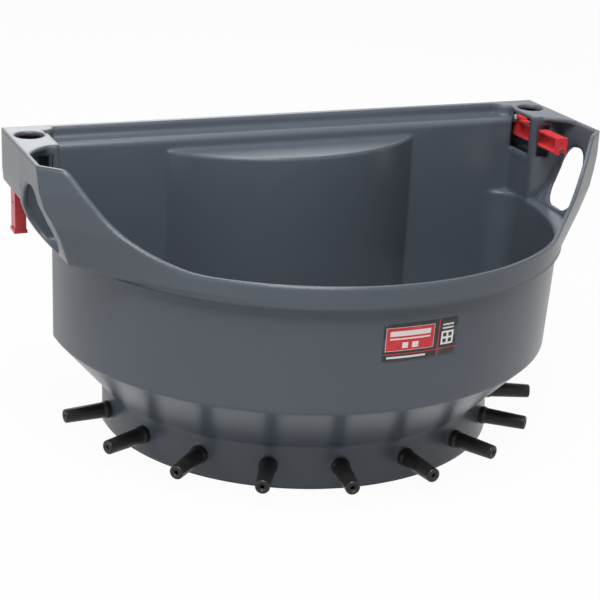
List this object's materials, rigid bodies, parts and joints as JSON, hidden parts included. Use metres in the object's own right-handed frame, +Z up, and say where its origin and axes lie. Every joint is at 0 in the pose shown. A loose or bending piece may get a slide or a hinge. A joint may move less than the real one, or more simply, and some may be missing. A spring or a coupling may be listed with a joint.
{
  "type": "calf teat feeder",
  "caption": "Half-round moulded tub with raised ears that hangs on a gate, rubber teats round its foot, hand holes and two pivoting latch levers.",
  "frame": {"origin": "under the middle of the outline, on the plane of the tub's foot", "axes": "+X along the gate, +Y to the gate, +Z up; the teats point away from the gate and to both sides"},
  "size_m": [0.86, 0.475, 0.44],
  "materials": {
    "tub_plastic": "satin",
    "teat_rubber": "satin",
    "lever_plastic": "satin",
    "sleeve_plastic": "satin",
    "fastener_steel": "zinc plated"
  },
  "bodies": {
    "feeder": {"tub": "tub_plastic", "teat_01": "teat_rubber", "teat_02": "teat_rubber", "teat_03": "teat_rubber", "teat_04": "teat_rubber", "teat_05": "teat_rubber", "teat_06": "teat_rubber", "teat_07": "teat_rubber", "teat_08": "teat_rubber", "teat_09": "teat_rubber", "teat_10": "teat_rubber", "left_pivot_bolt": "fastener_steel", "left_pivot_nut": "fastener_steel", "left_pivot_washer": "fastener_steel", "right_pivot_bolt": "fastener_steel", "right_pivot_nut": "fastener_steel", "right_pivot_washer": "fastener_steel", "right_pivot_sleeve": "sleeve_plastic"},
    "left_sleeve": {"left_pivot_sleeve": "sleeve_plastic"},
    "left_lever": {"left_latch_lever": "lever_plastic", "left_lever_screw": "fastener_steel"},
    "right_lever": {"right_latch_lever": "lever_plastic", "right_lever_screw": "fastener_steel"}
  },
  "joints": [
    {"name": "right_lever_hinge", "type": "hinge", "parent": "feeder", "child": "right_lever", "pos_m": [0.394, 0.2035, 0.421], "axis": [1, 0, 0], "range_deg": [-4, 12]},
    {"name": "left_lever_slide", "type": "slide", "parent": "feeder", "child": "left_sleeve", "axis": [1, 0, 0], "range_m": [0, 0.018]},
    {"name": "left_lever_hinge", "type": "hinge", "parent": "left_sleeve", "child": "left_lever", "pos_m": [-0.412, 0.2035, 0.421], "axis": [1, 0, 0], "range_deg": [-18, 0]}
  ]
}
